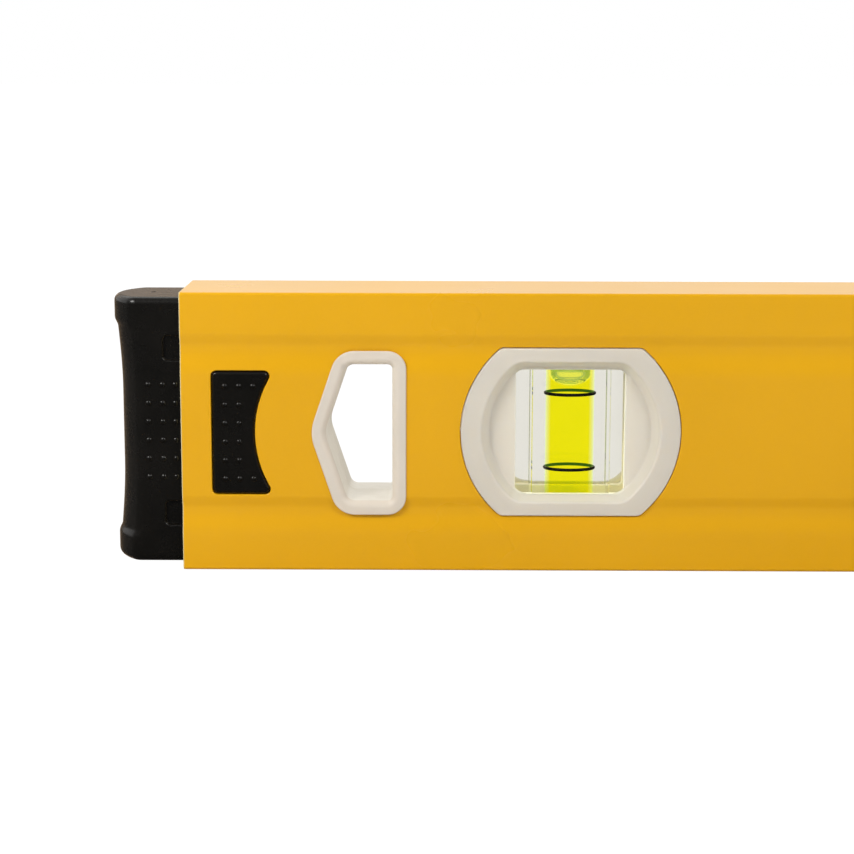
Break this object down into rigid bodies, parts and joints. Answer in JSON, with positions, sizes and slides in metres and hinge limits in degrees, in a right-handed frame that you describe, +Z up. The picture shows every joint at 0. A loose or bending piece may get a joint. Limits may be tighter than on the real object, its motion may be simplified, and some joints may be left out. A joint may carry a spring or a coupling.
{
  "type": "spirit level",
  "caption": "Box-beam spirit level with plumb vials near both ends, a level vial at mid-length, lined hand holds and removable soft end caps held by press-in latch pads.",
  "frame": {"origin": "middle of the length and of the thickness, on the bottom measuring face", "axes": "+X along the beam, towards the right end seen from the front; -Y out of the front face, +Y out of the back face; +Z up to the top measuring face"},
  "size_m": [0.6306, 0.0258, 0.06],
  "materials": {
    "beam_paint": "satin",
    "cap_rubber": "matte",
    "plug_plastic": "matte",
    "pad_rubber": "matte",
    "spring_steel": "satin",
    "liner_plastic": "satin",
    "housing_plastic": "satin",
    "vial_acrylic": "gloss",
    "vial_spirit": "gloss",
    "vial_bubble": "gloss",
    "ring_black": "satin"
  },
  "bodies": {
    "beam": {"beam": "beam_paint", "left_hold_liner_front": "liner_plastic", "left_hold_liner_back": "liner_plastic", "right_hold_liner_front": "liner_plastic", "right_hold_liner_back": "liner_plastic", "left_plumb_housing_front": "housing_plastic", "left_plumb_housing_back": "housing_plastic", "left_plumb_block": "vial_acrylic", "left_plumb_spirit": "vial_spirit", "left_plumb_rings": "ring_black", "left_plumb_stopper": "vial_acrylic", "right_plumb_housing_front": "housing_plastic", "right_plumb_housing_back": "housing_plastic", "right_plumb_block": "vial_acrylic", "right_plumb_spirit": "vial_spirit", "right_plumb_rings": "ring_black", "right_plumb_stopper": "vial_acrylic", "level_housing_front": "housing_plastic", "level_housing_back": "housing_plastic", "level_block": "vial_acrylic", "level_spirit": "vial_spirit", "level_rings": "ring_black", "level_stopper": "vial_acrylic", "level_top_bezel": "housing_plastic"},
    "left_cap": {"left_cap_bumper": "cap_rubber", "left_cap_plug": "plug_plastic", "left_latch_spring": "spring_steel"},
    "left_front_latch": {"left_latch_pad_front": "pad_rubber"},
    "left_back_latch": {"left_latch_pad_back": "pad_rubber"},
    "right_cap": {"right_cap_bumper": "cap_rubber", "right_cap_plug": "plug_plastic", "right_latch_spring": "spring_steel"},
    "right_front_latch": {"right_latch_pad_front": "pad_rubber"},
    "right_back_latch": {"right_latch_pad_back": "pad_rubber"},
    "left_plumb_bubble": {"left_plumb_bubble": "vial_bubble"},
    "right_plumb_bubble": {"right_plumb_bubble": "vial_bubble"},
    "level_bubble": {"level_bubble": "vial_bubble"}
  },
  "joints": [
    {"name": "left_cap_slide", "type": "slide", "parent": "beam", "child": "left_cap", "axis": [-1, 0, 0], "range_m": [0, 0.03], "deforming": ["left_latch_pad_front", "left_latch_pad_back"]},
    {"name": "left_front_latch_press", "type": "slide", "parent": "left_cap", "child": "left_front_latch", "axis": [0, 1, 0], "range_m": [0, 0.0024], "stiffness_N_per_m": 800, "springref_m": -0.002, "deforming": ["left_latch_spring"]},
    {"name": "left_back_latch_press", "type": "slide", "parent": "left_cap", "child": "left_back_latch", "axis": [0, -1, 0], "range_m": [0, 0.0024], "stiffness_N_per_m": 800, "springref_m": -0.002, "deforming": ["left_latch_spring"]},
    {"name": "right_cap_slide", "type": "slide", "parent": "beam", "child": "right_cap", "axis": [1, 0, 0], "range_m": [0, 0.03], "deforming": ["right_latch_pad_front", "right_latch_pad_back"]},
    {"name": "right_front_latch_press", "type": "slide", "parent": "right_cap", "child": "right_front_latch", "axis": [0, 1, 0], "range_m": [0, 0.0024], "stiffness_N_per_m": 800, "springref_m": -0.002, "deforming": ["right_latch_spring"]},
    {"name": "right_back_latch_press", "type": "slide", "parent": "right_cap", "child": "right_back_latch", "axis": [0, -1, 0], "range_m": [0, 0.0024], "stiffness_N_per_m": 800, "springref_m": -0.002, "deforming": ["right_latch_spring"]},
    {"name": "left_plumb_bubble_float", "type": "slide", "parent": "beam", "child": "left_plumb_bubble", "axis": [0, 0, -1], "range_m": [0, 0.0234], "stiffness_N_per_m": 0.5, "springref_m": -0.02},
    {"name": "right_plumb_bubble_float", "type": "slide", "parent": "beam", "child": "right_plumb_bubble", "axis": [0, 0, -1], "range_m": [0, 0.0234], "stiffness_N_per_m": 0.5, "springref_m": -0.02},
    {"name": "level_bubble_float", "type": "slide", "parent": "beam", "child": "level_bubble", "axis": [1, 0, 0], "range_m": [-0.0066, 0.0066], "stiffness_N_per_m": 0.5}
  ]
}
